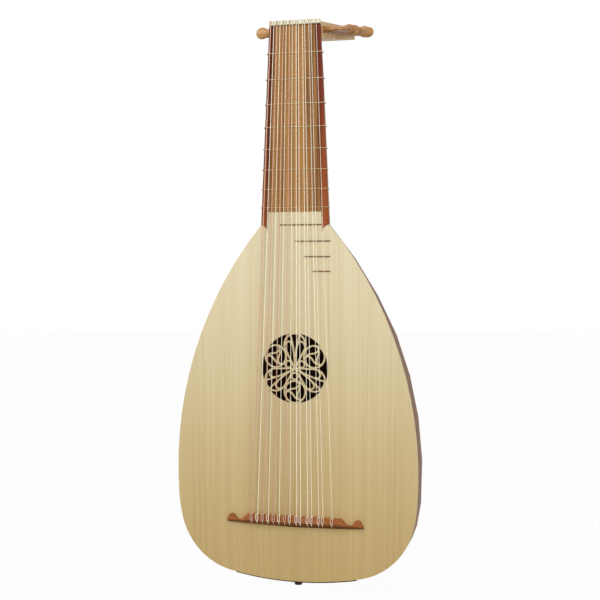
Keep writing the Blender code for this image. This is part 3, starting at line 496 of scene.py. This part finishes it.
def glued(bm):
    """The long edges of a rib are brought close to its neighbours', so that no light shows between them."""
    angles = [atan2(v.co.y - BOWL_PLANE, v.co.x) for v in bm.verts]
    middle = (min(angles) + max(angles)) / 2
    for vert, angle in zip(bm.verts, angles):
        if vert.co.y - BOWL_PLANE < GAP:
            continue
        radius = hypot(vert.co.x, vert.co.y - BOWL_PLANE)
        turn = (GAP - RIB_GLUE_LINE) / 2 / radius
        angle += turn if angle > middle else -turn
        vert.co.x = radius * cos(angle)
        vert.co.y = BOWL_PLANE + radius * sin(angle)


# Body

for number in RIBS:
    dressed(f"rib_{number:02d}", rib_wood(number), smooth=30, change=glued)
paint_node("soundboard", SPRUCE)
for node in ("upper_harmonic_bar", "lower_harmonic_bar", "neck_block", "tail_block"):
    paint_node(node, INNER_WOOD)
for number in BODY_FRETS:
    dressed(f"body_fret_{number}", FRET_WOOD, edge=BODY_FRET_EDGE)
make_bridge()

# Neck, pegbox and tail

dressed("neck", NECK_WOOD)
paint_node("fingerboard", BOARD_WOOD)
for node in ("treble_edge_strip", "bass_edge_strip"):
    paint_node(node, EDGE_WOOD)
dressed("nut", BONE, smooth=25)
dressed("pegbox", PEGBOX_WOOD, smooth=30)
dressed("end_cap", CAP_WOOD, smooth=30)
dressed("end_button", BUTTON_WOOD, round_off=1)

# Pegs and tied frets, which move

for number in range(1, PEG_COUNT + 1):
    dressed(f"peg_{number:02d}", PEG_WOOD, f"peg_{number:02d}", round_off=2)
for number in TIED_FRETS:
    dressed(f"tied_fret_{number}", FRET_GUT, f"tied_fret_{number}", smooth=60)


# Strings

PEG_CENTRES = [Vector(joint["pos_m"]) for joint in frame["joints"] if joint["name"].startswith("peg_")]
BOX_ALONG = (PEG_CENTRES[-1] - PEG_CENTRES[0]).normalized()
BOX_UP = Vector((0.0, -BOX_ALONG.z, BOX_ALONG.y))


def string_places(end):
    """Sideways places of the strings at the nut or the bridge, treble first."""
    places = []
    for course, gap in enumerate(PAIR_GAP[end]):
        middle = ((COURSE_COUNT - 1) / 2 - course) * COURSE_PITCH[end]
        places += [middle + gap / 2, middle - gap / 2] if course else [middle]
    return places


def string_peg(index):
    """Outer strings go to the pegs near the nut, on their own side."""
    right_pegs = (PEG_COUNT + 1) // 2
    return 2 * index if index < right_pegs else 2 * (PEG_COUNT - 1 - index) + 1


def bridge_tie(x, radius):
    """Out of the hole behind, over the top to the front, round the string there and back in a loop.

    The points that set its curve are given one by one.
    """
    level = BOARD_FACE - STRING_LIFT
    top = BRIDGE_TOP - radius - TIE_CLEAR_TOP
    fallen = top + TIE_FALL
    rear = BRIDGE_FRONT - TIE_REAR
    front = BRIDGE_FRONT + radius + TIE_CLEAR_FRONT
    bend = front - TIE_BEND
    half = TIE_HALF_WIDTH / 2
    treble, bass = x + TIE_HALF_WIDTH, x - TIE_HALF_WIDTH
    return [Vector(p) for p in (
        (x, level, BRIDGE_FRONT - TIE_HOLE), (x, level - 0.0006, BRIDGE_FRONT - 0.0108),
        (x, fallen, BRIDGE_FRONT - 0.0086), (x, top, rear),
        (treble, top, rear), (treble, top, rear + 0.0010), (treble, top, bend), (treble, fallen, front),
        (x + half, level + 0.0010, front + radius), (x - half, level + 0.0008, front + radius),
        (bass, fallen, front), (bass, top, bend), (bass, top, rear + 0.0010), (bass, top, rear),
        (x, top - radius * 1.6, rear + 0.0002))]


def winding(x, centre, radius, shaft):
    """Turns round a peg's shaft, side by side, that go on towards the lute's middle."""
    reach = shaft + radius + WINDING_CLEAR
    steps = WINDING_TURNS * WINDING_STEPS
    points = []
    for k in range(steps + 1):
        angle = 2 * pi * k / WINDING_STEPS
        along = (k / steps - WINDING_LEAD) * WINDING_TURNS * radius * WINDING_PITCH
        turned = BOX_UP * (reach * cos(angle)) + BOX_ALONG * (reach * sin(angle))
        points.append(centre + turned + Vector((x + (along if x < 0 else -along), 0, 0)))
    return points


def string_route(x_bridge, x_nut, x_peg, centre, reach):
    """From inside the bridge over the nut to the upper side of the peg's shaft."""
    leave = Vector((x_nut, BOARD_FACE - NUT_LIFT + NUT_DIP, NUT_BACK + PAST_NUT))
    run = centre - leave
    rise = Vector((0.0, run.z, -run.y)).normalized()
    rise = rise if rise.z > 0 else -rise
    return [Vector((x_bridge, BOARD_FACE - STRING_LIFT, BRIDGE_FRONT - STRING_IN_BRIDGE)),
            Vector((x_bridge, BOARD_FACE - STRING_LIFT, BRIDGE_FRONT)),
            Vector((x_nut, BOARD_FACE - NUT_LIFT - NUT_CLEAR, NUT_FRONT)), leave,
            centre + Vector((x_peg, 0, 0)) + rise * reach]


def make_string(index, x_bridge, x_nut, radius):
    """A string with its tie at the bridge and its turns on the peg.

    A pair is one node, and its lower string replaces it.
    """
    course = (index + 1) // 2
    upper = index % 2 == 1
    name = f"course_{course + 1}_{'upper' if upper else 'lower'}" if course else "course_1"
    wound = index >= FIRST_WOUND and not upper
    material, slot_name = (WOUND, "wound_string") if wound else (GUT, "gut_string")
    peg = string_peg(index)
    centre = PEG_CENTRES[peg]
    x_peg = x_nut * SPREAD_AT_PEGS
    shaft = SHAFT_RADIUS + SHAFT_TAPER * (x_peg if peg % 2 == 0 else -x_peg)
    route = string_route(x_bridge, x_nut, x_peg, centre, shaft + radius)
    string = strand(name, route, radius, material)
    if not upper:
        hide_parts(f"course_{course + 1}_strings" if course else "course_1_string")
    strand(name + "_tie", bridge_tie(x_bridge, radius), radius, material, rounded=True)
    strand(name + "_winding", winding(x_peg, centre, radius, shaft), radius, material,
           f"peg_{peg + 1:02d}")


strings = zip(string_places("bridge"), string_places("nut"), STRING_RADII)
for index, (x_bridge, x_nut, radius) in enumerate(strings):
    make_string(index, x_bridge, x_nut, radius)


# Fret knots

def make_fret_knot(number):
    """A few tight turns on the bass side, with a short tail."""
    node = f"tied_fret_{number}"
    low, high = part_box(node)
    middle = (low.z + high.z) / 2
    radius = (high.z - low.z) / 2
    corner = Vector((low.x + radius / 2, BOARD_FACE + KNOT_BEHIND_FACE, middle))
    turns = []
    for k in range(KNOT_POINTS):
        angle = k * KNOT_STEP
        across = KNOT_RADIUS * (cos(angle) - KNOT_OUTSET)
        turns.append(corner + Vector((across, k * KNOT_ADVANCE, KNOT_RADIUS * sin(angle))))
    tail = [turns[-1]] + [turns[-1] + Vector(step) for step in TAIL_STEPS]
    strand(f"fret_knot_{number}", turns, radius * KNOT_THICKNESS, FRET_GUT, node)
    strand(f"fret_knot_tail_{number}", tail, radius * TAIL_THICKNESS, FRET_GUT, node)


for number in TIED_FRETS:
    make_fret_knot(number)


# Floor, light and camera

def seen_or_mirrored(tree):
    """1 where the eye, a mirror or glass looks, 0 where light is only gathered."""
    path = tree.nodes.new("ShaderNodeLightPath")
    total = path.outputs["Is Camera Ray"]
    for output in ("Is Glossy Ray", "Is Transmission Ray"):
        adder = tree.nodes.new("ShaderNodeMath")
        adder.operation = "MAXIMUM"
        tree.links.new(total, adder.inputs[0])
        tree.links.new(path.outputs[output], adder.inputs[1])
        total = adder.outputs[0]
    return total


def floor_look():
    """White to the eye with a trace of shadow, and a plain grey where it only sends light back."""
    material = bpy.data.materials.new("pale floor")
    material.use_nodes = True
    tree = material.node_tree
    shader = tree.nodes["Principled BSDF"]
    shader.inputs["Base Color"].default_value = (0.5, 0.5, 0.5, 1)
    shader.inputs["Roughness"].default_value = 0.9
    shader.inputs["Specular IOR Level"].default_value = 0.0
    glow = tree.nodes.new("ShaderNodeEmission")
    mixer = tree.nodes.new("ShaderNodeMixShader")
    share = tree.nodes.new("ShaderNodeMath")
    share.operation = "MULTIPLY"
    share.inputs[1].default_value = FLOOR_WHITENESS
    tree.links.new(seen_or_mirrored(tree), share.inputs[0])
    tree.links.new(share.outputs[0], mixer.inputs[0])
    tree.links.new(shader.outputs[0], mixer.inputs[1])
    tree.links.new(glow.outputs[0], mixer.inputs[2])
    tree.links.new(mixer.outputs[0], tree.nodes["Material Output"].inputs["Surface"])
    return material


def make_floor():
    bm = bmesh.new()
    bmesh.ops.create_circle(bm, cap_ends=True, segments=64, radius=FLOOR_RADIUS)
    mesh = bpy.data.meshes.new("floor")
    bm.to_mesh(mesh)
    bm.free()
    floor = bpy.data.objects.new("floor", mesh)
    bpy.context.collection.objects.link(floor)
    floor.location.z = -FLOOR_DROP
    mesh.materials.append(floor_look())


def make_world(level):
    """White to the eye, and dimmer as a light."""
    world = bpy.data.worlds.new("studio")
    bpy.context.scene.world = world
    world.use_nodes = True
    tree = world.node_tree
    back = tree.nodes["Background"]
    strength = tree.nodes.new("ShaderNodeMapRange")
    strength.inputs["To Min"].default_value = level
    tree.links.new(seen_or_mirrored(tree), strength.inputs[0])
    tree.links.new(strength.outputs[0], back.inputs["Strength"])
    back.inputs["Color"].default_value = (1, 1, 1, 1)


def facing(place, aim):
    """Turn of a lamp or camera at one place that looks at another."""
    return (Vector(aim) - Vector(place)).to_track_quat("-Z", "Y").to_euler()


def add_lamp(name, place, size, power):
    data = bpy.data.lights.new(name, "AREA")
    data.size = size
    data.energy = power
    lamp = bpy.data.objects.new(name, data)
    bpy.context.collection.objects.link(lamp)
    lamp.location = place
    lamp.rotation_euler = facing(place, LAMP_AIM)


def add_camera(place, aim, lens):
    data = bpy.data.cameras.new("camera")
    data.lens = lens
    data.sensor_width = 36.0
    camera = bpy.data.objects.new("camera", data)
    bpy.context.collection.objects.link(camera)
    camera.location = place
    camera.rotation_euler = facing(place, aim)
    bpy.context.scene.camera = camera


make_floor()
make_world(WORLD_LEVEL)
add_lamp("key", place=(-1.1, -2.0, 1.9), size=1.4, power=41)
add_lamp("fill", place=(1.8, -1.6, 0.9), size=1.6, power=19)
side_step = Vector((SIDE_STEP, 0.0, 0.0))
add_camera(Vector(CAMERA_PLACE) + side_step, Vector(CAMERA_AIM) + side_step, CAMERA_LENS)
bpy.context.scene.view_settings.view_transform = "Standard"

bpy.context.view_layer.update()
